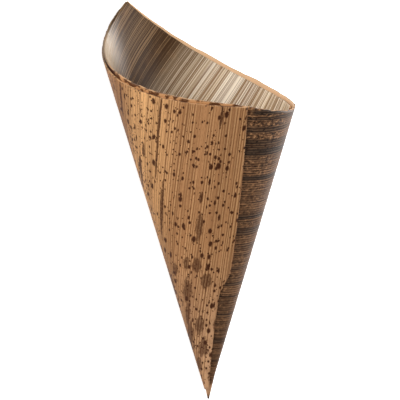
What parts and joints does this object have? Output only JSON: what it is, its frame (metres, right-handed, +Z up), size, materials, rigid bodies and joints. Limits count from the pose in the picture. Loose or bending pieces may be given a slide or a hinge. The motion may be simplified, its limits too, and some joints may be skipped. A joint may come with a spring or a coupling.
{
  "type": "banana leaf cone",
  "caption": "Small open food cone rolled from one flat dried leaf sheath, with a glued overlap, a slanted rim that ends in a tip, and a closed sharp point.",
  "frame": {"origin": "centre of the bounding box at the ground, with the cone lying on its side as it rests", "axes": "+Z up from the ground, +Y along the ground from the open mouth to the closed point, +X to the side"},
  "size_m": [0.0618, 0.1338, 0.0548],
  "materials": {
    "dried_leaf": "satin"
  },
  "bodies": {
    "root": {"rolled_leaf": "dried_leaf"}
  },
  "joints": []
}
